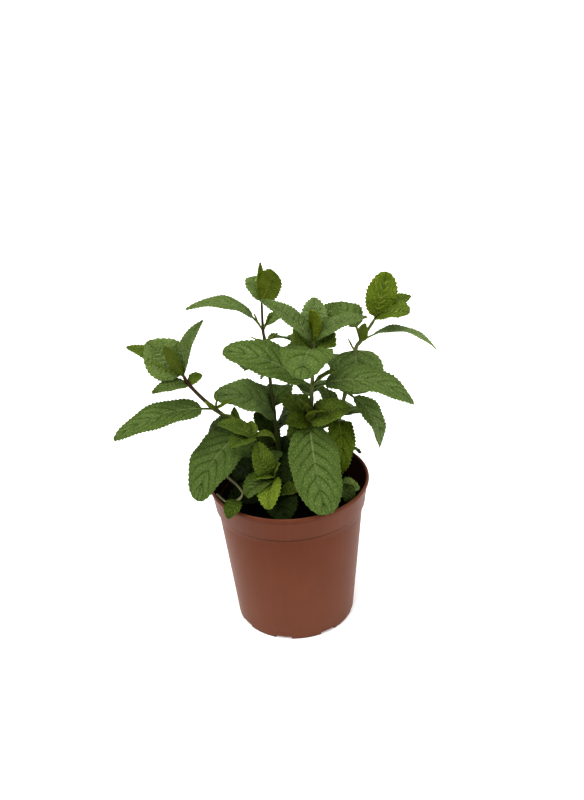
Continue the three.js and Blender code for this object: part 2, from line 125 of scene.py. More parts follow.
class NodeKit:
    """Builds the node tree of one material."""

    def __init__(self, name: str) -> None:
        """Start an empty material.

        Args:
            name: the material's name.
        """
        self.material = bpy.data.materials.new(name)
        self.material.use_nodes = True
        self.tree = self.material.node_tree
        self.tree.nodes.clear()

    def node(self, kind: str, settings: dict[str, Any] | None = None,
             inputs: dict[str | int, Any] | None = None) -> Node:
        """Add any node.

        Args:
            kind: the node's type.
            settings: properties that are set before its sockets are used.
            inputs: values or signals by socket name or number.

        Returns:
            The new node.
        """
        made = self.tree.nodes.new(kind)
        for key, value in (settings or {}).items():
            setattr(made, key, value)
        for key, value in (inputs or {}).items():
            self._feed(made.inputs[key], value)
        return made

    def _feed(self, socket: NodeSocket, value: Any) -> None:
        """Link a signal to a socket, or set its plain value.

        Args:
            socket: the input.
            value: what it gets.
        """
        if isinstance(value, Signal):
            self.tree.links.new(value.socket, socket)
        else:
            socket.default_value = value

    def out(self, node: Node, name: str | int = 0) -> Signal:
        """Wrap one output of a node."""
        return Signal(self, node.outputs[name])

    def math(self, operation: str, *values: Any) -> Signal:
        """Add one Math node on these numbers or signals."""
        inputs = dict(enumerate(values))
        return self.out(self.node("ShaderNodeMath", {"operation": operation}, inputs))

    def most(self, first: Signal, second: Signal) -> Signal:
        """Give the larger of two signals."""
        return self.math("MAXIMUM", first, second)

    def mix(self, share: Any, first: Any, second: Any) -> Signal:
        """Blend two colours.

        Args:
            share: how much of the second shows.
            first: colour where the share is 0.
            second: colour where the share is 1.

        Returns:
            The blended colour.
        """
        settings = {"data_type": "RGBA", "clamp_factor": True}
        node = self.node("ShaderNodeMix", settings, {0: share, 6: first, 7: second})
        return self.out(node, 2)

    def paint(self, colour: Any, *coats: tuple[Any, Any]) -> Any:
        """Lay coats over a colour.

        Args:
            colour: the colour to start with.
            coats: the share and the colour of each, in order.

        Returns:
            The colour that shows.
        """
        for share, coat in coats:
            colour = self.mix(share, colour, coat)
        return colour

    def noise(self, place: Signal, scale: float, detail: float = 3.0, roughness: float = 0.5) -> Signal:
        """Give a noise pattern of so many repeats to the metre, with more or fewer finer layers."""
        inputs = {"Vector": place, "Scale": scale, "Detail": detail, "Roughness": roughness}
        return self.out(self.node("ShaderNodeTexNoise", {}, inputs), "Fac")

    def cell_walls(self, place: Signal, scale: float) -> Signal:
        """Give the distance from the walls of irregular cells, as a share of a cell."""
        settings = {"feature": "DISTANCE_TO_EDGE"}
        return self.out(self.node("ShaderNodeTexVoronoi", settings, {"Vector": place, "Scale": scale}))

    def object_place(self) -> Signal:
        """Give the place on the piece, in metres."""
        return self.out(self.node("ShaderNodeTexCoord"), "Object")

    def axes(self, place: Signal) -> tuple[Signal, Signal, Signal]:
        """Split a place into its X, Y and Z."""
        parts = self.node("ShaderNodeSeparateXYZ", {}, {0: place})
        return self.out(parts, "X"), self.out(parts, "Y"), self.out(parts, "Z")

    def attribute(self, name: str) -> Signal:
        """Give a number stored on the mesh."""
        node = self.node("ShaderNodeAttribute", {"attribute_type": "GEOMETRY", "attribute_name": name})
        return self.out(node, "Fac")

    def drawn_out(self, place: Signal, share: float) -> Signal:
        """Draw a pattern out upwards, so that a share of its repeats is left that way."""
        return self.out(self.node("ShaderNodeMapping", {}, {"Vector": place, "Scale": (1.0, 1.0, share)}))

    def bump(self, height: Signal, strength: float, distance: float) -> Signal:
        """Turn a relief into a normal, with its strength and its depth in metres."""
        inputs = {"Height": height, "Strength": strength, "Distance": distance}
        return self.out(self.node("ShaderNodeBump", {}, inputs), "Normal")

    def finish(self, **inputs: Any) -> Material:
        """Close the tree with a Principled shader.

        Args:
            inputs: its sockets, with underscores for spaces.

        Returns:
            The finished material.
        """
        named = {key.replace("_", " "): value for key, value in inputs.items()}
        shader = self.node("ShaderNodeBsdfPrincipled", {}, named)
        self.node("ShaderNodeOutputMaterial", {}, {"Surface": self.out(shader)})
        return self.material


# Finishes


@dataclass(frozen=True)
class LeafFinish:
    """The blades: deep green when grown, yellow-green when young, paler below, with sunken veins.

    A pitch is a pattern's repeats to the metre. A share says how strongly a mask shows where it is full.
    The vein furrows, the crease along the midrib and the lobes of fine-veined leaves get painted shade, and
    the crests of the quilting get a painted highlight.
    """

    grown: Colour = (0.120, 0.170, 0.054, 1.0)
    grown_deep: Colour = (0.078, 0.114, 0.033, 1.0)
    fresh: Colour = (0.146, 0.192, 0.006, 1.0)
    # Paler greens of the painted highlight on crests and on whole leaves, also of the pale speckles
    painted_light_and_speckle: Colour = (0.200, 0.262, 0.118, 1.0)
    fresh_painted_light_and_speckle: Colour = (0.220, 0.275, 0.022, 1.0)
    below: Colour = (0.150, 0.200, 0.090, 1.0)
    fresh_below: Colour = (0.155, 0.190, 0.026, 1.0)
    # The dark green of the painted shade in furrows and crease, also of the net and the dark speckles
    painted_shade_and_dark_texture: Colour = (0.018, 0.042, 0.003, 1.0)
    midrib: Colour = (0.270, 0.325, 0.165, 1.0)
    fresh_rib: Colour = (0.280, 0.330, 0.055, 1.0)
    # The dark green of the painted shade that a leaf's shade lays over it
    shaded: Colour = (0.010, 0.022, 0.002, 1.0)
    roughness: float = 0.47

    stray_pitch: float = 420.0
    mottle_pitch: float = 110.0
    grain_pitch: float = 1500.0
    speckle_pitch: float = 950.0
    net_pitch: float = 560.0
    break_pitch: float = 260.0

    young_order: float = 0.8
    grown_sharpness: float = 19.0
    fine_sharpness: float = 5.0
    # How fast a negative shade pales a leaf with painted light
    painted_light_rate: float = 1.9
    # How strongly the painted highlight shows on the crests of the quilting
    crest_light_share: float = 0.35
    net_share: tuple[float, float] = (0.40, 0.10)
    # How strongly the painted shade shows in vein furrows and over fine-veined lobes
    furrow_shade_share: tuple[float, float] = (0.28, 0.36)
    lobe_shade_share: tuple[float, float] = (0.16, 0.56)
    dark_speckle_share: float = 0.4
    pale_speckle_share: float = 0.25
    # How strongly the painted shade shows in the crease along the midrib
    crease_shade_share: float = 0.5
    thread_share: float = 0.9
    lower_vein_share: float = 0.35
    lower_share: float = 0.8
    rib_share: float = 0.8
    margin_share: float = 0.15

    def make(self) -> Material:
        """Build the material.

        Returns:
            The material.
        """
        kit = NodeKit("mint_leaf")
        place = kit.object_place()
        age = kit.attribute("youth")
        fine = kit.attribute("fine")
        leaf_shade = kit.attribute("shade")
        lower = kit.attribute("underside")
        along = kit.attribute("along")
        across = abs(kit.attribute("across"))
        coarse = 1.0 - fine

        mottle = kit.noise(place, self.mottle_pitch)
        grain = kit.noise(place, self.grain_pitch, detail=2.0)
        speckle = kit.noise(place, self.speckle_pitch)
        net = kit.cell_walls(place, self.net_pitch).ramp(start=0.3125, end=0.0)
        inner = across.ramp(start=1.12, end=0.12)
        stray = (kit.noise(place, self.stray_pitch, detail=2.0) - NOISE_MEAN) * fine
        phase = kit.attribute("phase") + stray * (1.0 - age * self.young_order)
        gap = abs(phase - kit.math("ROUND", phase))
        swell = gap * (1.0 - gap) * 4.0
        sharpness = self.grown_sharpness - fine * (self.grown_sharpness - self.fine_sharpness)
        valley = (1.0 - gap * sharpness).clamped() * inner
        broken = kit.noise(place, self.break_pitch, detail=2.0).ramp(start=0.233, end=0.567)
        thread = gap.ramp(start=0.238, end=0.0) * inner * fine * broken
        rib = across.ramp(start=0.0625, end=0.0) * along.ramp(start=0.846, end=0.077)
        crease = across.ramp(start=0.111, end=0.0) * along.ramp(start=0.0, end=0.833)
        margin = across.ramp(start=0.929, end=1.0)

        pale = kit.mix(age, self.midrib, self.fresh_rib)
        painted_light_and_speckle = kit.mix(age, self.painted_light_and_speckle, self.fresh_painted_light_and_speckle)
        # Painted shade in the vein furrows of grown leaves and over the lobes between the veins of
        # fine-veined ones
        furrow_and_lobe_shade = (valley * self._uneven(self.furrow_shade_share, mottle) * coarse
                + swell * inner * fine * self._uneven(self.lobe_shade_share, mottle))
        below = kit.mix(age, self.below, self.fresh_below)
        body = kit.paint(
            kit.mix(mottle.ramp(start=0.222, end=0.778), self.grown_deep, self.grown),
            (age, self.fresh),
            # Painted light: a negative shade pales the whole leaf
            (leaf_shade * -self.painted_light_rate, painted_light_and_speckle),
            # Painted highlight on the crests of the quilting of grown leaves
            (swell * inner * coarse * self.crest_light_share, painted_light_and_speckle),
            (kit.most(net * self._uneven(self.net_share, fine), furrow_and_lobe_shade), self.painted_shade_and_dark_texture),
            (speckle.ramp(start=0.45, end=0.25) * self.dark_speckle_share, self.painted_shade_and_dark_texture),
            (speckle.ramp(start=0.53, end=0.73) * self.pale_speckle_share, painted_light_and_speckle),
            # Painted shade in the crease along the midrib
            (crease * self.crease_shade_share, self.painted_shade_and_dark_texture),
            (thread * self.thread_share, pale),
            (lower * self.lower_share, kit.mix(valley * self.lower_vein_share, below, pale)),
            (kit.most(rib * self.rib_share, margin * self.margin_share), pale),
            # Painted shade: a positive shade darkens the whole leaf
            (leaf_shade, self.shaded),
        )
        relief = grain * 0.15 + mottle * 0.25 - net * 0.5 - valley * 1.2
        return kit.finish(
            Base_Color=body,
            Roughness=self.roughness + (grain - NOISE_MEAN) * 0.14 + valley * 0.1,
            Normal=kit.bump(relief, strength=0.8, distance=0.6 * MM),
            Specular_IOR_Level=0.10,
            Subsurface_Weight=0.08,
            Subsurface_Radius=(1.0 * MM, 1.6 * MM, 0.4 * MM),
            Subsurface_Scale=1.0,
        )

    @staticmethod
    def _uneven(share: tuple[float, float], mask: Signal) -> Signal:
        """Give a share's first number, raised by its second where a mask is full."""
        return share[0] + mask * share[1]


@dataclass(frozen=True)
class StemFinish:
    """The stems: green below, flushed purple-brown above and in blotches."""

    green: Colour = (0.070, 0.100, 0.022, 1.0)
    flush: Colour = (0.050, 0.022, 0.014, 1.0)
    pale: Colour = (0.215, 0.205, 0.110, 1.0)
    roughness: float = 0.5
    streak_pitch: float = 700.0
    streak_length: float = 0.15
    blotch_pitch: float = 60.0

    def make(self) -> Material:
        """Build the material.

        Returns:
            The material.
        """
        kit = NodeKit("mint_stem")
        place = kit.object_place()
        streaks = kit.noise(kit.drawn_out(place, self.streak_length), self.streak_pitch, detail=2.0)
        blotches = kit.noise(place, self.blotch_pitch, detail=2.0)
        flushed = (kit.attribute("flush") * 1.3 + blotches * 0.8 - 0.5).clamped()
        colour = kit.mix(flushed, self.green, self.flush)
        return kit.finish(
            Base_Color=kit.mix(kit.attribute("pallor"), colour, self.pale),
            Roughness=self.roughness + (streaks - NOISE_MEAN) * 0.1,
            Normal=kit.bump(streaks, strength=0.3, distance=0.3 * MM),
            Specular_IOR_Level=0.25,
        )


@dataclass(frozen=True)
class PotFinish:
    """The pot: brick-brown moulded plastic with a soft sheen, flow lines, paler low down, painted shade and
    a painted highlight.
    """

    colour: Colour = (0.146, 0.050, 0.025, 1.0)
    deep: Colour = (0.114, 0.039, 0.020, 1.0)
    # A paler brown for the flow lines and the lower wall
    pale_brown: Colour = (0.200, 0.095, 0.062, 1.0)
    # The dark brown of the painted shade on the pot
    painted_shade_brown: Colour = (0.030, 0.014, 0.010, 1.0)
    # A painted highlight on the lip's top
    lip_highlight: Colour = (0.270, 0.135, 0.090, 1.0)
    roughness: float = 0.40

    cloud_pitch: float = 35.0
    flow_pitch: float = 260.0
    flow_length: float = 0.12
    grain_pitch: float = 2600.0

    inside_radius: float = 37.6 * MM
    inside_flare: float = 0.13
    inside_bottom: float = 86.2 * MM
    inside_blur: float = 0.4 * MM
    # Heights of the painted shade lines under the band and under the lip
    band_edge: float = 85.2 * MM
    lip_edge: float = 100.0 * MM
    # Heights over which the painted highlight on the lip's top comes in
    lip_highlight_from: float = 102.6 * MM
    lip_highlight_full: float = 103.225 * MM

    flow_share: float = 0.12
    bottom_pale_share: float = 0.5
    # How strongly the painted shade shows under the band, under the lip and at the foot
    band_shade_share: float = 0.9
    lip_shade_share: float = 0.3
    foot_shade_share: float = 0.8
    lip_highlight_share: float = 0.6

    def make(self) -> Material:
        """Build the material.

        Returns:
            The material.
        """
        kit = NodeKit("pot_plastic")
        place = kit.object_place()
        x, y, z = kit.axes(place)
        clouds = kit.noise(place, self.cloud_pitch, detail=4.0)
        flow = kit.noise(kit.drawn_out(place, self.flow_length), self.flow_pitch)
        grain = kit.noise(place, self.grain_pitch, detail=2.0)

        # Painted shade: thin dark lines under the band and the lip, and at the foot where it meets the
        # floor
        edges = kit.most(self._line(z, self.band_edge) * self.band_shade_share,
                         self._line(z, self.lip_edge) * self.lip_shade_share)
        painted_edge_shade = kit.most(edges, z.ramp(start=1.27 * MM, end=0.36 * MM) * self.foot_shade_share)
        inside = self._inside((x * x + y * y) ** 0.5, z)
        # Painted highlight: the lip's top is paler
        lip_highlight_mask = z.ramp(start=self.lip_highlight_from, end=self.lip_highlight_full)
        colour = kit.paint(
            kit.mix(clouds.ramp(start=0.167, end=0.833), self.deep, self.colour),
            (flow.ramp(start=0.5, end=0.917) * self.flow_share, self.pale_brown),
            # Paler towards the bottom
            (z.ramp(start=81.8 * MM, end=-9.1 * MM) * self.bottom_pale_share, self.pale_brown),
            (painted_edge_shade, self.painted_shade_brown),
            # Painted shade on the rim's inside above the compost, uneven with the clouds
            (inside * (0.55 + clouds * 0.5), self.painted_shade_brown),
            (lip_highlight_mask * self.lip_highlight_share, self.lip_highlight),
        )
        sheen = (clouds - NOISE_MEAN) * 0.10 + (grain - NOISE_MEAN) * 0.08 + painted_edge_shade * 0.5
        return kit.finish(
            Base_Color=colour,
            Roughness=self.roughness + sheen,
            Normal=kit.bump(grain * 0.6 + clouds * 0.4, strength=0.16, distance=0.3 * MM),
            Specular_IOR_Level=0.12,
        )

    @staticmethod
    def _line(height: Signal, level: float) -> Signal:
        """Mark a thin line at one height, which fades out within a millimetre."""
        return abs(height - level).ramp(start=1.0 * MM, end=0.286 * MM)

    def _inside(self, radius: Signal, height: Signal) -> Signal:
        """Mark the rim's inside above the compost, where it gets painted shade, by the distance from the
        axis and the height.
        """
        within = (height * self.inside_flare + self.inside_radius - radius).ramp(0.0, self.inside_blur)
        return within * (height - self.inside_bottom).ramp(0.0, self.inside_blur)


@dataclass(frozen=True)
class CompostFinish:
    """The compost: moist, nearly black, with browner crumbs and fibres."""

    dark: Colour = (0.003, 0.0022, 0.002, 1.0)
    brown: Colour = (0.014, 0.009, 0.006, 1.0)
    roughness: float = 0.8
    crumb_pitch: float = 420.0
    patch_pitch: float = 90.0

    def make(self) -> Material:
        """Build the material.

        Returns:
            The material.
        """
        kit = NodeKit("compost")
        place = kit.object_place()
        crumbs = kit.noise(place, self.crumb_pitch, detail=4.0, roughness=0.6)
        patches = kit.noise(place, self.patch_pitch, detail=2.0)
        browned = (crumbs * 2.4 + patches - 1.5).clamped()
        return kit.finish(
            Base_Color=kit.mix(browned, self.dark, self.brown),
            Roughness=self.roughness + (patches - NOISE_MEAN) * 0.2,
            Normal=kit.bump(crumbs, strength=0.9, distance=1.5 * MM),
            Specular_IOR_Level=0.1,
        )


@dataclass(frozen=True)
class FloorFinish:
    """The studio floor: plain white, lit a little from below."""

    colour: Colour = (0.93, 0.93, 0.93, 1.0)
    glow: float = 0.1
    roughness: float = 0.9

    def make(self) -> Material:
        """Build the material.

        Returns:
            The material.
        """
        return NodeKit("studio_floor").finish(
            Base_Color=self.colour,
            Roughness=self.roughness,
            Specular_IOR_Level=0.0,
            Emission_Color=self.colour,
            Emission_Strength=self.glow,
        )


# The plant


def mm(point: Sequence[float]) -> Vector:
    """Turn a point in millimetres into one in metres."""
    return Vector(point) * MM


def limited(value: float, least: float, most: float) -> float:
    """Keep a value between two limits."""
    return max(least, min(most, value))


@dataclass(frozen=True)
class Layers:
    """The numbers that the plant's mesh carries for its materials and its shaping."""

    along: Any
    across: Any
    phase: Any
    youth: Any
    fine: Any
    underside: Any
    flush: Any
    pallor: Any
    turn: Any
    shade: Any

    @classmethod
    def on(cls, mesh: BMesh) -> "Layers":
        """Add the layers to an empty bmesh."""
        return cls(*[mesh.verts.layers.float.new(field.name) for field in fields(cls)])


@dataclass
class Leaf:
    """One blade on its stalk.

    The tip is in millimetres. bow lifts the middle towards the upper side and sway moves it sideways, as
    shares of the length. roll turns the upper side, in degrees. fold raises the margins and ripple waves
    them, as shares of the half width. blunt rounds the tip, broad rounds the stalk's end, and youth tells a
    fresh leaf (1) from a grown one (0). veins is the spacing of the side veins in millimetres. shade
    darkens the leaf's green with painted shade, or pales it with painted light where it is negative.
    """

    at: int
    tip: Point
    width: float
    bow: float = 0.2
    sway: float = 0.0
    roll: float = 0.0
    fold: float = 0.15
    ripple: float = 0.08
    stalk: float = 0.12
    blunt: float = 0.0
    broad: float = 0.0
    youth: float = 0.15
    veins: float = 9.0
    shade: float = 0.0

    BLADE = 0.42 * MM
    KEEL = 0.55 * MM
    KEEL_WIDTH = 0.9 * MM
    KEEL_TAPER = 0.8
    STALK_WIDTH = 1.3 * MM
    STALK_STEPS = 3
    TIP_HALF = 0.25 * MM
    RISE_POWER = 0.55
    FALL_POWER = 0.80
    COLUMN_WIDTH = 2.6
    COLUMNS = (3, 11)
    CROWDING = 1.25

    # A tooth is as long as the first number and a share of the width. A broad leaf has lower teeth.
    TOOTH_PITCH = (1.5 * MM, 0.045)
    TOOTH_REACH = (1.0 * MM, 0.75 * MM)
    BROAD_LEAF = 24.0
    FULL_TEETH = 16.0
    FEWEST_TEETH = 3
    TOOTH_STEPS = 4
    TOOTH_RISE = (0.0, 0.25, 0.58, 1.0)

    # Lean, stray and quilt: the first number is for a grown leaf, the second for one with fine veins.
    VEIN_PAIRS = (4.0, 10.0)
    FINE_VEINS = 5.0
    VEIN_CURL = 0.18
    VEIN_LEAN = (0.20, 0.32)
    VEIN_STRAY = (0.30, 0.75)
    STRAY_PITCH = (0.44, 1.6)
    QUILT = (0.033, 0.056)
    QUILT_FLAT = 0.18
    QUILT_ENDS = (6.0, 4.0)

    WAVES = 2.5
    WAVE_START = 0.3
    CRINKLE = 0.26 * MM
    CRINKLE_PITCH = 330.0
    CRINKLE_LEAST = 0.6
    CRINKLE_FLAT = 0.15
    CRINKLE_FOOT = 8.0

    def outline(self, share: float) -> float:
        """Give half the blade's width, as a share of its full width.

        Args:
            share: how far along the blade, from 0 to 1.

        Returns:
            The half width.
        """
        rise = self.RISE_POWER * (1.0 - self.broad)
        fall = self.FALL_POWER * (1.0 - self.blunt)
        widest = rise / (rise + fall)
        most = widest ** rise * (1.0 - widest) ** fall
        return 0.5 * share ** rise * (1.0 - share) ** fall / most

    def grow(self, mesh: BMesh, layers: Layers, base: Vector, up: Vector) -> None:
        """Add the leaf to the plant's mesh.

        Args:
            mesh: the bmesh that it joins.
            layers: the bmesh's layers.
            base: where it leaves the stem, in metres.
            up: the stem's direction there.
        """
        chord = mm(self.tip) - base
        length = chord.length
        along = chord.normalized()
        top = (up - along * up.dot(along)).normalized()
        top = Matrix.Rotation(math.radians(self.roll), 3, along) @ top
        side = along.cross(top)
        width = self.width * MM
        pitch = self.TOOTH_PITCH[0] + self.TOOTH_PITCH[1] * width
        teeth = max(self.FEWEST_TEETH, round(length * (1.0 - self.stalk) / pitch))
        rows = self.STALK_STEPS + self.TOOTH_STEPS * teeth
        columns = 2 * int(limited(round(self.width / self.COLUMN_WIDTH), *self.COLUMNS))
        pairs = limited(length / (self.veins * MM), *self.VEIN_PAIRS)
        fine = self.veins < self.FINE_VEINS
        reach = self.TOOTH_REACH[self.width > self.BROAD_LEAF] * min(1.0, self.width / self.FULL_TEETH)
        stray_along, stray_across = self.STRAY_PITCH
        quilt_foot, quilt_tip = self.QUILT_ENDS
        for vertex in self._two_skins(mesh, layers, rows, columns):
            row = vertex[layers.along]
            across = vertex[layers.across]
            out = abs(across)
            share, half = self._station(row, teeth, width, reach)
            t = self.stalk * row / self.STALK_STEPS
            if row > self.STALK_STEPS:
                t = self.stalk + (1.0 - self.stalk) * share
            lift = 4.0 * t * (1.0 - t)
            slope = 4.0 * (1.0 - 2.0 * t)
            middle = base + chord * t + (top * self.bow + side * self.sway) * (length * lift)
            run = (along + top * (self.bow * slope)).normalized()
            normal = side.cross(run).normalized()
            flat = middle + side * (across * half)
            wave = self.ripple * half * math.sin(2.0 * math.pi * (self.WAVES * t + self.WAVE_START))
            stray = noise.noise(Vector((stray_along * share * pairs, stray_across * across, self.tip[0])))
            phase = (share - self.VEIN_LEAN[fine] * out - self.VEIN_CURL * out * out) * pairs
            phase += self.VEIN_STRAY[fine] * stray
            gap = 2.0 * abs(phase - round(phase))
            puff = (1.0 - (1.0 - gap) ** 2) * min(1.0, out / self.QUILT_FLAT) * (1.0 - out ** 3)
            puff *= min(1.0, quilt_foot * share) * min(1.0, quilt_tip * (1.0 - share))
            crimp = noise.noise(flat * self.CRINKLE_PITCH) * (self.CRINKLE_LEAST + self.youth)
            crimp *= min(1.0, out / self.CRINKLE_FLAT) * min(1.0, self.CRINKLE_FOOT * share)
            height = self.fold * half * out - wave * across
            height += self.QUILT[fine] * width * puff + self.CRINKLE * crimp
            if vertex[layers.underside] == Side.LOWER.value:
                rib = math.exp(-((across * half / self.KEEL_WIDTH) ** 2))
                height -= self.BLADE + self.KEEL * rib * (1.0 - self.KEEL_TAPER * share)
            vertex.co = flat + normal * height
            vertex[layers.along] = share
            vertex[layers.phase] = phase
            vertex[layers.youth] = self.youth
            vertex[layers.fine] = float(fine)
            vertex[layers.shade] = self.shade

    def _two_skins(self, mesh: BMesh, layers: Layers, rows: int, columns: int) -> list[BMVert]:
        """Make a flat closed slab with the blade's rows and columns.

        Args:
            mesh: the bmesh that it joins.
            layers: the bmesh's layers, which get each vertex's row, place across and skin.
            rows: faces along the leaf.
            columns: faces across it.

        Returns:
            The vertices of both skins.
        """
        lower = bmesh.ops.create_grid(mesh, x_segments=rows, y_segments=columns, size=1.0)["verts"]
        for vertex in lower:
            vertex[layers.along] = round((vertex.co.x + 1.0) / 2.0 * rows)
            place = vertex.co.y
            vertex[layers.across] = math.copysign(abs(place) ** self.CROWDING, place)
            vertex[layers.underside] = Side.LOWER.value
        faces = list({face for vertex in lower for face in vertex.link_faces})
        raised = bmesh.ops.extrude_face_region(mesh, geom=faces)["geom"]
        upper = [item for item in raised if isinstance(item, BMVert)]
        for vertex in upper:
            vertex[layers.underside] = Side.UPPER.value
        return lower + upper

    def _station(self, row: float, teeth: int, width: float, reach: float) -> tuple[float, float]:
        """Find how far along the blade a row lies and how wide the leaf is there.

        Args:
            row: the row's number, from the stem.
            teeth: how many teeth each margin has.
            width: the blade's full width.
            reach: how far a tooth stands out.

        Returns:
            The share of the blade's length, from 0 to 1, and the half width.
        """
        step = round(row) - self.STALK_STEPS
        if step <= 0:
            return 0.0, self.STALK_WIDTH / 2.0
        share = step / (self.TOOTH_STEPS * teeth)
        if share >= 1.0:
            return 1.0, self.TIP_HALF
        half = width * self.outline(share) + reach * self.TOOTH_RISE[step % self.TOOTH_STEPS]
        return share, max(half, self.STALK_WIDTH / 2.0)


# Leaves of a shoot's tip are fresh, short-stalked and more folded, and bud leaves more so
young = partial(Leaf, bow=0.1, stalk=0.05, fold=0.3, ripple=0.05, youth=0.6, veins=2.8)
tiny = partial(Leaf, bow=-0.05, stalk=0.05, fold=0.35, ripple=0.0, youth=0.9, veins=2.0)


@dataclass
class Shoot:
    """A square stem, its leaves in opposite pairs, and their buds."""

    node: str
    thick: tuple[float, float]
    route: list[Point]
    leaves: list[Leaf]
    flush: float = 0.4
    pallor: float = 0.0

    STEM_INDEX = 1
    SIDES = 16
    STEPS = 6
    LOOK_ROUND = 0.05
    SQUARENESS = 5.0
    GROOVE = 0.06
    KNOT = 0.28
    KNOT_REACH = 2.2 * MM
    END_SHARE = 0.6
    FLUSH_FOOT = 0.15

    def build(self, leaf_finish: Material, stem_finish: Material) -> Object:
        """Build the shoot as one piece that stands for its CAD node.

        Args:
            leaf_finish: material of the blades.
            stem_finish: material of the stem.

        Returns:
            The piece.
        """
        mesh = bmesh.new()
        layers = Layers.on(mesh)
        points = [mm(point) for point in self.route]
        self._stem(mesh, layers, points)
        for face in mesh.faces:
            face.material_index = self.STEM_INDEX
        for leaf in self.leaves:
            leaf.grow(mesh, layers, points[leaf.at], self._direction(points, leaf.at))
        bmesh.ops.recalc_face_normals(mesh, faces=mesh.faces[:])
        piece = mesh_piece(mesh, f"mint_{self.node}", [leaf_finish, stem_finish])
        settle(piece, self.node)
        return piece

    @staticmethod
    def _direction(points: list[Vector], at: int) -> Vector:
        """Give the route's direction at one of its points."""
        return (points[min(at + 1, len(points) - 1)] - points[max(at - 1, 0)]).normalized()

    @staticmethod
    def _centre(points: list[Vector], t: float) -> Vector:
        """Give a point of the smooth curve through the route.

        Args:
            points: the route.
            t: the place on it, counted in route points.

        Returns:
            The point.
        """
        i = min(int(t), len(points) - 2)
        f = t - i
        a, b = points[i], points[i + 1]
        before = points[i - 1] if i > 0 else 2.0 * a - b
        after = points[i + 2] if i + 2 < len(points) else 2.0 * b - a
        start = (b - before) / 2.0
        end = (after - a) / 2.0
        square, cube = f * f, f * f * f
        return (a * (2 * cube - 3 * square + 1) + start * (cube - 2 * square + f)
                + b * (3 * square - 2 * cube) + end * (cube - square))

    def _stem(self, mesh: BMesh, layers: Layers, points: list[Vector]) -> None:
        """Extrude the stem's section along its route.

        Args:
            mesh: the bmesh that it joins.
            layers: the bmesh's layers.
            points: the route in metres.
        """
        spans = len(points) - 1
        count = spans * self.STEPS
        ring = bmesh.ops.create_circle(mesh, cap_ends=True, segments=self.SIDES, radius=1.0)["verts"]
        for vertex in ring:
            vertex[layers.turn] = math.atan2(vertex.co.y, vertex.co.x)
        edges = list({edge for vertex in ring for edge in vertex.link_edges})
        for step in range(count + 1):
            if step > 0:
                grown = bmesh.ops.extrude_edge_only(mesh, edges=edges)["geom"]
                ring = [item for item in grown if isinstance(item, BMVert)]
                edges = [item for item in grown if isinstance(item, BMEdge)]
            t = step / self.STEPS
            centre = self._centre(points, t)
            ahead = self._centre(points, min(t + self.LOOK_ROUND, spans))
            behind = self._centre(points, max(t - self.LOOK_ROUND, 0.0))
            along = (ahead - behind).normalized()
            side = Vector((along.z, 0.0, -along.x)).normalized()
            front = along.cross(side)
            share = step / count
            near = min((centre - points[leaf.at]).length for leaf in self.leaves)
            half = self._half(near, share) * (self.END_SHARE if step == count else 1.0)
            for vertex in ring:
                turn = vertex[layers.turn]
                radius = half * self._section(turn)
                vertex.co = centre + side * (radius * math.cos(turn)) + front * (radius * math.sin(turn))
                vertex[layers.flush] = self.flush * (self.FLUSH_FOOT + share ** 2)
                vertex[layers.pallor] = self.pallor
        bmesh.ops.contextual_create(mesh, geom=edges)

    def _half(self, near: float, share: float) -> float:
        """Give half the stem's thickness in metres, so near to a knot and so far up."""
        swell = 1.0 + self.KNOT * math.exp(-((near / self.KNOT_REACH) ** 2))
        return MM * (self.thick[0] + (self.thick[1] - self.thick[0]) * share) / 2.0 * swell

    def _section(self, turn: float) -> float:
        """Give the radius of the square, grooved section at an angle, where half its width is 1."""
        square = abs(math.cos(turn)) ** self.SQUARENESS + abs(math.sin(turn)) ** self.SQUARENESS
        return (1.0 - self.GROOVE * math.cos(2.0 * turn) ** 2) / square ** (1.0 / self.SQUARENESS)


def added(name: str, data: ID) -> Object:
    """Put a new object in the scene.

    Args:
        name: its name.
        data: its mesh, light or camera.

    Returns:
        The object.
    """
    made = bpy.data.objects.new(name, data)
    bpy.context.scene.collection.objects.link(made)
    return made


def mesh_piece(mesh: BMesh, name: str, finishes: Iterable[Material], smooth: bool = True) -> Object:
    """Turn a bmesh into an object in the scene.

    Args:
        mesh: the bmesh, which is freed.
        name: the piece's name.
        finishes: its materials, in slot order.
        smooth: whether its faces are shaded smooth.

    Returns:
        The object.
    """
    data = bpy.data.meshes.new(name)
    mesh.to_mesh(data)
    mesh.free()
    for finish in finishes:
        data.materials.append(finish)
    data.polygons.foreach_set("use_smooth", [smooth] * len(data.polygons))
    return added(name, data)


def settle(piece: Object, node: str) -> None:
    """Make a piece ride on the body and stand for a CAD node, and log it.

    Args:
        piece: the piece.
        node: the CAD node that it replaces.
    """
    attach(piece, BODY)
    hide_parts(node)
    log.info("%s: %d faces, for %s", piece.name, len(piece.data.polygons), node)


# The pot and the compost


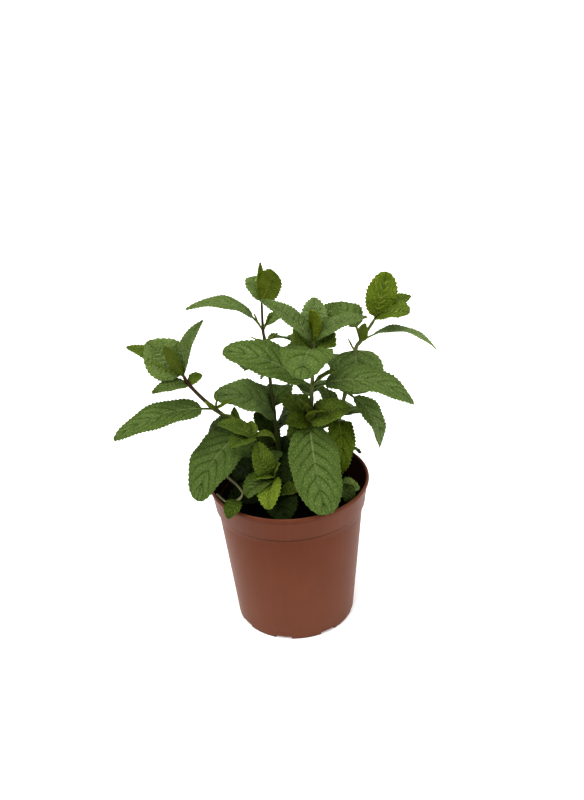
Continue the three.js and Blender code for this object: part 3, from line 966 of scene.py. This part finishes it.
@dataclass
class Pot:
    """The moulded pot: a tapered wall, a band and lip at the rim, and a notched foot.

    Sizes are in millimetres and turns in degrees. Each rounding is a row of points. The foot's and the
    band's go out and up from the corner there, the lip's in and down from the rim's top, and the inner
    lip's out and down.
    """

    rim_radius: float = 52.5
    height: float = 103.0
    foot_radius: float = 39.0
    foot_width: float = 3.0
    wall: float = 1.5
    band_bottom: float = 85.5
    shoulder_radius: float = 48.0
    lip: float = 1.1
    base_rise: float = 2.2
    base_thickness: float = 2.0
    pad_radius: float = 9.0
    notches: int = 8
    notch_width: float = 11.0
    notch_turn: float = -104.0
    notch_corner: float = 0.5
    drain_radius: float = 3.5
    drain_circle: float = 28.0
    drain_depth: float = 20.0

    STEPS = 192
    DRAIN_SIDES = 32
    SHARP_TURN = 32.0
    SLANT = 1.0
    FOOT_SLANT = 0.4
    WALL_RINGS = (2.5, 4.6, 7.0, 12.0, 25.0, 45.0, 65.0, 80.0)
    FOOT_ROUNDING = ((-0.4, 0.0), (0.3, 0.25), (0.7, 0.9))
    BAND_ROUNDING = ((-0.05, -1.3), (0.25, -0.8), (1.15, -0.15), (1.6, 0.5))
    LIP_ROUNDING = ((1.1, 3.4), (0.75, 2.8), (0.2, 2.3), (0.0, 1.5), (0.1, 0.7), (0.5, 0.15), (1.1, 0.0),
                    (1.8, 0.25))
    INNER_LIP_ROUNDING = ((0.1, 1.2), (0.0, 3.2))
    INNER_STEP = 0.6

    def _wall_radius(self, height: float) -> float:
        """Give the wall's outer radius at a height below the band."""
        foot = self.foot_radius + self.FOOT_ROUNDING[-1][0]
        return foot + (self.shoulder_radius - foot) * height / (self.band_bottom - self.SLANT)

    def profile(self) -> list[tuple[float, float]]:
        """Give the wall's section.

        Returns:
            Radius and height of its points, from the underside's middle round to the inside's middle.
        """
        floor = self.base_rise + self.base_thickness
        inner_foot = self.foot_radius + self.SLANT - self.wall
        inner_lip = self.rim_radius - self.lip - self.wall
        band_radius = self.shoulder_radius + self.BAND_ROUNDING[-1][0]
        foot_edge = self.foot_radius - self.foot_width
        return [
            (0.0, 0.0),
            (self.pad_radius, 0.0),
            (self.pad_radius + self.SLANT, self.base_rise),
            (foot_edge - self.FOOT_SLANT, self.base_rise),
            (foot_edge, 0.0),
            *[(self.foot_radius + out, up) for out, up in self.FOOT_ROUNDING],
            *[(self._wall_radius(height), height) for height in self.WALL_RINGS],
            *[(self.shoulder_radius + out, self.band_bottom + up) for out, up in self.BAND_ROUNDING],
            *[(self.rim_radius - inward, self.height - down) for inward, down in self.LIP_ROUNDING],
            *[(inner_lip + out, self.height - down) for out, down in self.INNER_LIP_ROUNDING],
            (band_radius - self.wall, self.band_bottom + self.INNER_STEP),
            (self.shoulder_radius - self.wall, self.band_bottom - self.INNER_STEP),
            (inner_foot, floor + self.SLANT),
            (inner_foot - self.SLANT, floor),
            (0.0, floor),
        ]

    def build(self, finish: Material) -> Object:
        """Build the pot.

        Args:
            finish: its plastic.

        Returns:
            The piece.
        """
        body = mesh_piece(spun(self.profile(), self.STEPS), "pot_moulding", [finish])
        cutter = mesh_piece(self._cutters(), "notch_cutter", [])
        cut = body.modifiers.new("cut", "BOOLEAN")
        cut.operation = "DIFFERENCE"
        cut.solver = "EXACT"
        cut.object = cutter
        graph = bpy.context.evaluated_depsgraph_get()
        graph.update()
        done = bpy.data.meshes.new_from_object(body.evaluated_get(graph))
        body.modifiers.clear()
        body.data = done
        bpy.data.objects.remove(cutter)
        done.set_sharp_from_angle(angle=math.radians(self.SHARP_TURN))
        settle(body, "pot")
        return body

    def _cutters(self) -> BMesh:
        """Make what the foot's notches and the drainage holes are cut with.

        Returns:
            The bmesh, with a box for each notch and a cylinder for each hole.
        """
        mesh = bmesh.new()
        notch = Matrix.Diagonal((3.0 * self.foot_width * MM, self.notch_width * MM,
                                 2.0 * self.base_rise * MM, 1.0))
        for i in range(self.notches):
            turn = Matrix.Rotation(math.radians(self.notch_turn + 360.0 / self.notches * i), 4, "Z")
            place = turn @ Matrix.Translation((self.foot_radius * MM, 0.0, 0.0))
            box = bmesh.ops.create_cube(mesh, size=1.0, matrix=place @ notch)["verts"]
            edges = list({edge for vertex in box for edge in vertex.link_edges})
            bmesh.ops.bevel(mesh, geom=edges, affect="EDGES", offset=self.notch_corner * MM, segments=2,
                            profile=0.5, material=-1)
            hole = turn @ Matrix.Translation((self.drain_circle * MM, 0.0, 0.0))
            bmesh.ops.create_cone(mesh, cap_ends=True, segments=self.DRAIN_SIDES,
                                  radius1=self.drain_radius * MM, radius2=self.drain_radius * MM,
                                  depth=self.drain_depth * MM, matrix=hole)
        return mesh


@dataclass
class Compost:
    """The compost: a plug with a crumbly top, and loose crumbs on it, in millimetres."""

    top: float = 88.0
    mound: float = 2.0
    bottom: float = 4.5
    radius: float = 46.0
    foot_radius: float = 38.0
    crumbs: int = 520
    seed: int = 7

    STEPS = 144
    RINGS = 44
    CRUST = 1.0
    LUMPS = ((110.0, 1.3), (420.0, 0.6))
    CRUMB_EDGE = 2.0
    CRUMB_SIZE = (0.4, 1.5)
    CRUMB_WIDTH = (0.5, 1.0)
    CRUMB_HEIGHT = (0.4, 0.8)

    def build(self, finish: Material) -> Object:
        """Build the compost.

        Args:
            finish: its material.

        Returns:
            The piece.
        """
        shares = [1.0 - i / self.RINGS for i in range(self.RINGS + 1)]
        surface = [(self.radius * share, self._level(share)) for share in shares]
        mesh = spun([(0.0, self.bottom), (self.foot_radius, self.bottom), *surface], self.STEPS)
        for vertex in mesh.verts:
            if vertex.co.z > (self.top - self.CRUST) * MM:
                vertex.co.z += self._lumps(vertex.co)
        self._scatter(mesh)
        piece = mesh_piece(mesh, "compost_plug", [finish])
        settle(piece, "compost")
        return piece

    def _level(self, share: float) -> float:
        """Give the height of the mound at a share of the radius."""
        return self.top + self.mound * (1.0 - share ** 2)

    def _lumps(self, place: Vector) -> float:
        """Give the height of the compost's lumps at a place, in metres."""
        return sum(height * noise.noise(place * pitch) for pitch, height in self.LUMPS) * MM

    def _scatter(self, mesh: BMesh) -> None:
        """Strew crumbs over the surface.

        Args:
            mesh: the bmesh that they join.
        """
        draw = random.Random(self.seed)
        for _ in range(self.crumbs):
            reach = (self.radius - self.CRUMB_EDGE) * math.sqrt(draw.random())
            turn = draw.uniform(0.0, 2.0 * math.pi)
            size = draw.uniform(*self.CRUMB_SIZE) * MM
            place = mm((reach * math.cos(turn), reach * math.sin(turn), self._level(reach / self.radius)))
            place.z += self._lumps(place)
            spin = Matrix.Rotation(draw.uniform(0.0, math.pi), 4, "X") @ Matrix.Rotation(turn, 4, "Z")
            width = size * draw.uniform(*self.CRUMB_WIDTH)
            height = size * draw.uniform(*self.CRUMB_HEIGHT)
            squash = Matrix.Diagonal((size, width, height, 1.0))
            bmesh.ops.create_icosphere(mesh, subdivisions=1, radius=1.0,
                                       matrix=Matrix.Translation(place) @ spin @ squash)


def spun(section: list[tuple[float, float]], steps: int) -> BMesh:
    """Turn a section about the upright axis.

    Args:
        section: radius and height of its points in millimetres, starting and ending on the axis.
        steps: faces round the turn.

    Returns:
        The closed bmesh, with its faces pointing out.
    """
    mesh = bmesh.new()
    corners = [mesh.verts.new((radius * MM, 0.0, height * MM)) for radius, height in section]
    edges = [mesh.edges.new(pair) for pair in zip(corners, corners[1:])]
    bmesh.ops.spin(mesh, geom=corners + edges, cent=(0, 0, 0), axis=(0, 0, 1), angle=2.0 * math.pi,
                   steps=steps, use_merge=True)
    bmesh.ops.remove_doubles(mesh, verts=mesh.verts[:], dist=0.001 * MM)
    bmesh.ops.recalc_face_normals(mesh, faces=mesh.faces[:])
    return mesh


# The studio


@dataclass(frozen=True)
class SoftBox:
    """A round soft light, with its place and width in metres and its power in watts."""

    name: str
    place: Point
    width: float
    power: float


@dataclass
class Studio:
    """A pale floor, soft lights, and the camera at the photograph's angle, in metres and degrees."""

    target: Point = (0.0047, 0.0, 0.1586)
    distance: float = 0.632
    elevation: float = 26.62
    tilt: float = 3.15
    focal: float = 45.0
    sensor: float = 36.0
    nearest: float = 0.01
    floor_size: float = 30.0
    sky: Colour = (1.0, 1.0, 1.0, 1.0)
    sky_strength: float = 0.42
    sun_from: Point = (-0.65, -0.65, 1.25)
    sun_spread: float = 60.0
    sun_strength: float = 2.1
    boxes: tuple[SoftBox, ...] = (
        SoftBox("fill", (1.2, -0.6, 0.8), width=1.0, power=6.0),
        SoftBox("top", (0.2, 0.5, 1.9), width=1.2, power=12.0),
    )

    def build(self) -> None:
        """Set up the floor, the lights and the camera."""
        bpy.context.scene.view_settings.view_transform = "Standard"
        bpy.context.scene.view_settings.look = "High Contrast"
        self._floor()
        self._world()
        self._sun()
        for box in self.boxes:
            self._light(box)
        self._camera()

    def _floor(self) -> None:
        """Lay the floor."""
        mesh = bmesh.new()
        bmesh.ops.create_grid(mesh, x_segments=1, y_segments=1, size=self.floor_size / 2.0)
        mesh_piece(mesh, "studio_floor", [FloorFinish().make()], smooth=False)

    def _world(self) -> None:
        """Fill the room with even white light."""
        world = bpy.data.worlds.new("studio")
        world.use_nodes = True
        background = world.node_tree.nodes["Background"]
        background.inputs["Color"].default_value = self.sky
        background.inputs["Strength"].default_value = self.sky_strength
        bpy.context.scene.world = world

    def _sun(self) -> None:
        """Light the whole floor evenly from the front left."""
        data = bpy.data.lights.new("key", "SUN")
        data.angle = math.radians(self.sun_spread)
        data.energy = self.sun_strength
        added("key", data).rotation_euler = Vector(self.sun_from).to_track_quat("Z", "Y").to_euler()

    def _light(self, box: SoftBox) -> None:
        """Hang one soft box that points at the plant.

        Args:
            box: the light.
        """
        data = bpy.data.lights.new(box.name, "AREA")
        data.shape = "DISK"
        data.size = box.width
        data.energy = box.power
        lamp = added(box.name, data)
        lamp.location = box.place
        aim = Vector(self.target) - Vector(box.place)
        lamp.rotation_euler = aim.to_track_quat("-Z", "Y").to_euler()

    def _camera(self) -> None:
        """Place the camera."""
        data = bpy.data.cameras.new("camera")
        data.lens = self.focal
        data.sensor_width = self.sensor
        data.sensor_fit = "AUTO"
        data.clip_start = self.nearest
        camera = added("camera", data)
        climb = Matrix.Rotation(math.radians(90.0 - self.elevation), 4, "X")
        roll = Matrix.Rotation(math.radians(-self.tilt), 4, "Z")
        back = Matrix.Translation((0.0, 0.0, self.distance))
        camera.matrix_world = Matrix.Translation(self.target) @ climb @ roll @ back
        bpy.context.scene.camera = camera


# The shoots, with every route and tip in millimetres


# Every stem starts at this height, inside the compost
STEM_FOOT = 62.0

SHOOTS = [
    Shoot("stem_left", thick=(3.2, 1.7), flush=0.9, route=[
        (-8, -3, STEM_FOOT), (-10, -4, 92), (-18, -5, 117), (-28, -5, 139), (-36, -5, 150),
        (-44, -6, 158.5), (-52, -7, 168), (-58, -8, 177), (-61, -8, 183),
    ], leaves=[
        Leaf(1, (-33, 2, 97), 15, bow=0.12, shade=0.75),
        Leaf(2, (-38, 7, 101), 14, bow=0.12, roll=-50, shade=0.75),
        Leaf(3, (-50, 9, 137), 16, roll=-20, shade=0.5),
        young(3, (-40, -9, 156.8), 7, roll=-20),
        young(3, (-32.5, 4, 153.9), 8),
        Leaf(3, (-56.5, -46, 116.5), 32, bow=0.1, sway=0.06, roll=-30, stalk=0, fold=0.04, blunt=0.35,
             broad=0.6, shade=0.17),
        Leaf(5, (-107, -20, 148), 20, bow=0.14, roll=-24, fold=0.05, blunt=0.15, broad=0.2),
        tiny(5, (-42, -6, 168), 2.5),
        tiny(5, (-49, -12, 167), 3),
        tiny(5, (-33, -5, 164), 4),
        young(7, (-80, -18, 177.5), 11, bow=0.08, roll=-25, youth=0.2, shade=-0.1),
        young(7, (-50, -3, 181), 7, bow=0.22, roll=40),
        young(8, (-83, 4, 202), 27, bow=0.04, roll=-15, fold=0.15, youth=0.25, shade=-0.3),
        young(8, (-46.5, 0, 216), 9, sway=-0.08, roll=45, youth=0.15, shade=-0.2),
        young(8, (-97, 12, 196), 12),
        young(8, (-70, -14, 206), 7, bow=-0.05, blunt=0.3, youth=0.9, shade=0.35),
        tiny(8, (-64, -2, 200), 6),
    ]),
    Shoot("stem_back_left", thick=(3, 1.5), flush=0.8, route=[
        (-3, 7, STEM_FOOT), (-4, 9, 92), (-6, 13, 118), (-7.5, 15, 143), (-9, 19, 170), (-10.6, 22, 191),
        (-11.3, 24, 198), (-11, 25, 216),
    ], leaves=[
        Leaf(1, (0, 17, 124), 14, bow=0.1, blunt=0.3, shade=0.8),
        Leaf(2, (-30, 21, 109), 22, bow=0.1, roll=-60, shade=0.5, youth=0.5),
        Leaf(2, (-19.1, 22, 140.9), 14, bow=0.1, roll=-30, blunt=0.4, shade=0.6, youth=0.6),
        Leaf(2, (8, 34, 104), 16),
        Leaf(3, (-45, 6, 161), 26, stalk=0.02, roll=-35, blunt=0.3, broad=0.45, shade=-0.25),
        Leaf(3, (0, 44, 148), 20),
        Leaf(4, (-26, 48, 160), 20),
        young(4, (-24, 2, 180), 7),
        Leaf(5, (11, 34, 180), 15, bow=0.16, shade=0.15),
        tiny(5, (-2, 22, 196), 2.2),
        tiny(5, (-19, 20, 195), 2.2),
        Leaf(6, (-58.5, 20, 216), 13, bow=0.24, stalk=0.18, fold=0.1, roll=-20, shade=-0.15),
        Leaf(6, (8, 26, 207), 9, stalk=0.15, roll=25),
        tiny(6, (-16, 24, 209), 2.2),
        tiny(6, (-6.5, 24, 209), 2.2),
        young(7, (-1.5, 18, 238.2), 15.5, blunt=0.4, bow=0.04, fold=0.06, roll=-85, youth=1.0,
              shade=0.32, veins=3.5),
        young(7, (-16, 36, 229.5), 14, blunt=0.6, bow=0.08, fold=0.1, youth=0.25, shade=-0.35),
        tiny(7, (-10.4, 28, 241), 5),
    ]),
    Shoot("stem_centre", thick=(3.6, 1.8), flush=0.3, pallor=0.22, route=[
        (9, -2, STEM_FOOT), (10, -4, 92), (12, -6, 118), (15, -9, 147.5), (17.4, -10, 171),
        (19, -12, 197), (19.6, -12, 203),
    ], leaves=[
        Leaf(2, (-9, -15, 110), 19, blunt=0.4, roll=-20, shade=0.7),
        Leaf(3, (21.5, -52, 105), 31.5, bow=0.14, sway=0.06, stalk=0.08, fold=0.04, blunt=0.45,
             broad=0.35, shade=0.06),
        young(3, (1.5, -22, 143), 12, blunt=0.4, broad=0.4, roll=-20, youth=0.5, shade=0.55),
        Leaf(3, (8, 20, 128), 22),
        Leaf(3, (-2, 10, 157), 19, bow=0.15, youth=0.7, shade=0.42),
        young(3, (0, -15, 150), 13, bow=0.15, roll=-30, shade=0.5, youth=0.8),
        young(3, (8, -18, 168), 11, shade=0.45, youth=0.8),
        young(3, (41, -14, 158), 17, bow=0.14, roll=35, youth=0.6, shade=-0.2),
        young(3, (24, -24, 162), 9, youth=0.8, shade=0.15),
        Leaf(4, (-36, -6, 197.5), 25, bow=0.15, roll=-25, blunt=0.25),
        Leaf(4, (80, -15, 159), 23, bow=0.21, roll=14, blunt=0.15, broad=0.2, shade=-0.1),
        young(4, (33, -14, 184), 7),
        Leaf(5, (10, -45, 194), 30, bow=0.22, stalk=0.06, blunt=0.3, shade=0.07),
        Leaf(5, (22, 24, 214), 27, bow=0.1, stalk=0.02, fold=0.3, broad=0.88, youth=0.5, shade=0.08),
        young(6, (-10.5, -15, 232.5), 13, bow=0.08, roll=-32, youth=0.15, shade=-0.3),
        young(6, (52, -13, 217.5), 11, bow=0.14, roll=25, youth=0.15, shade=-0.25),
        young(6, (21.5, 6, 224.5), 16, youth=0.15, shade=-0.4),
        young(6, (19, -16, 225), 8.5, blunt=0.35, youth=1.0),
        young(6, (34, 4, 221), 14, roll=25, youth=0.2, shade=0.1),
        tiny(6, (19, -8, 220), 6),
    ]),
    Shoot("stem_right", thick=(3.2, 1.7), flush=0.05, pallor=0.3, route=[
        (18, 2, STEM_FOOT), (20, 3, 92), (28, 4, 117), (34, 5, 140), (39, 5, 160), (46, 7, 187.5),
        (49.4, 8, 193), (58.6, 8, 207.5),
    ], leaves=[
        Leaf(2, (48, 20, 106), 15),
        Leaf(3, (30.5, -12, 107), 18, bow=0.16, stalk=0.02, blunt=0.3, broad=0.7, youth=0.85, shade=0.3),
        Leaf(3, (21, 16, 160), 16, bow=0.1),
        Leaf(3, (48, 36, 128), 19),
        Leaf(4, (60, 0, 121), 17, roll=28),
        Leaf(4, (32, 38, 172), 18, bow=0.16),
        young(4, (28, 2, 176), 9),
        Leaf(5, (46.5, 2, 159), 33, bow=0.05, stalk=0, fold=0.05, roll=75, blunt=0.4, broad=0.3,
             shade=-0.25),
        tiny(5, (42, 6, 196), 2.2),
        Leaf(6, (96, 0, 188), 11, bow=0.22, stalk=0.16, roll=5, shade=-0.5),
        Leaf(6, (33, 26, 212), 18, bow=0.24, stalk=0.25, roll=-30),
        tiny(6, (52, 0, 208), 7),
        young(7, (66, 10, 237), 18.5, blunt=0.3, bow=0.04, fold=0.12, roll=-75, youth=0.8, shade=-0.1,
              veins=4.6),
        young(7, (79, -1, 214), 16, blunt=0.4, roll=35),
        young(7, (82.5, 22, 216), 11),
        tiny(7, (67, 16, 224), 6),
    ]),
    Shoot("shoot_left", thick=(2.4, 1.4), route=[
        (-10, -13, STEM_FOOT), (-12, -14, 92), (-15.5, -17, 117), (-19, -21, 140), (-20, -23, 146.5),
    ], leaves=[
        Leaf(2, (-4, -4, 124), 13),
        Leaf(1, (-39, -24, 101.5), 17, bow=0.12, sway=0.1, blunt=0.3, roll=-15, shade=0.8),
        young(4, (-41.1, -29, 159.7), 12, roll=-8, shade=0.15, youth=0.5),
        young(4, (-34.8, -38, 148), 12, roll=-10, shade=0.15, youth=0.5),
        young(4, (-21.7, -16, 153.7), 7),
        young(4, (-7, -19, 140), 5, bow=0.3),
    ]),
    Shoot("shoot_front", thick=(2.4, 1.4), route=[
        (-1, -21, STEM_FOOT), (-3, -23, 92), (-6, -27, 108), (-9, -31, 122),
    ], leaves=[
        Leaf(2, (-3, -45, 96.5), 20, bow=0.15, shade=0.8),
        young(2, (6, -34, 112), 11),
        young(3, (-18.5, -30, 146), 14, sway=-0.11, blunt=0.2, shade=0.22),
        young(3, (-22, -40, 126), 11, shade=0.1),
        young(3, (-27, -40, 114), 16, blunt=0.3, bow=0.15, youth=0.3, shade=0.23),
        young(3, (-13, -51, 110.5), 14.5, blunt=0.2, bow=0.15, youth=0.8, shade=-0.35),
        young(3, (-4.8, -33, 132.4), 7),
    ]),
    Shoot("runner_left", thick=(1.5, 1.1), flush=0.0, pallor=0.8, route=[
        (-31, 1, STEM_FOOT), (-33, -1, 92), (-41.3, -14, 115.5), (-37.1, -22, 116.7), (-32, -29, 115.1),
        (-29.2, -35, 113.2), (-32.1, -38, 110.5), (-38.7, -35, 107.2), (-45.9, -28, 109.7),
    ], leaves=[
        young(6, (-38.5, -48.5, 104), 10.5, bow=0.12, roll=-120, shade=0.45),
    ]),
    Shoot("shoot_right", thick=(2.2, 1.3), route=[
        (26, -13, STEM_FOOT), (28, -15, 92), (31, -18, 101), (33, -20, 107),
    ], leaves=[
        young(3, (44.8, -21, 103.4), 10, bow=0.05, fold=0.1, roll=25, broad=0.35, youth=0.35, shade=-0.5),
        young(3, (24, -22, 117), 9),
        young(3, (37, -29, 97), 11, bow=0.2, youth=0.2, shade=0.45),
        young(3, (42, -13, 101), 8),
    ]),
    Shoot("stem_back", thick=(3, 1.6), route=[
        (12, 18, STEM_FOOT), (13, 20, 92), (16, 27, 117), (18, 33, 142), (19, 37, 163), (19.5, 39, 176),
    ], leaves=[
        Leaf(2, (42, 50, 112), 20),
        Leaf(2, (-14, 50, 112), 20),
        Leaf(3, (-6, 37, 119), 20, bow=0.1, roll=-35, shade=0.6),
        Leaf(3, (16, 78, 122), 22),
        Leaf(4, (52, 56, 148), 19, bow=0.16),
        Leaf(4, (-16, 60, 146), 19, bow=0.16),
        young(5, (20, 68, 176), 18, bow=0.15),
        young(5, (36, 44, 184), 11),
        young(5, (4, 44, 184), 11),
    ]),
]


def main() -> None:
    """Build the pot, the compost and the shoots, then the studio."""
    logging.basicConfig(level=logging.INFO, format="%(message)s")
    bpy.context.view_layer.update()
    Pot().build(PotFinish().make())
    Compost().build(CompostFinish().make())
    leaf_finish = LeafFinish().make()
    stem_finish = StemFinish().make()
    for shoot in SHOOTS:
        shoot.build(leaf_finish, stem_finish)
    Studio().build()


if __name__ == "__main__":
    main()
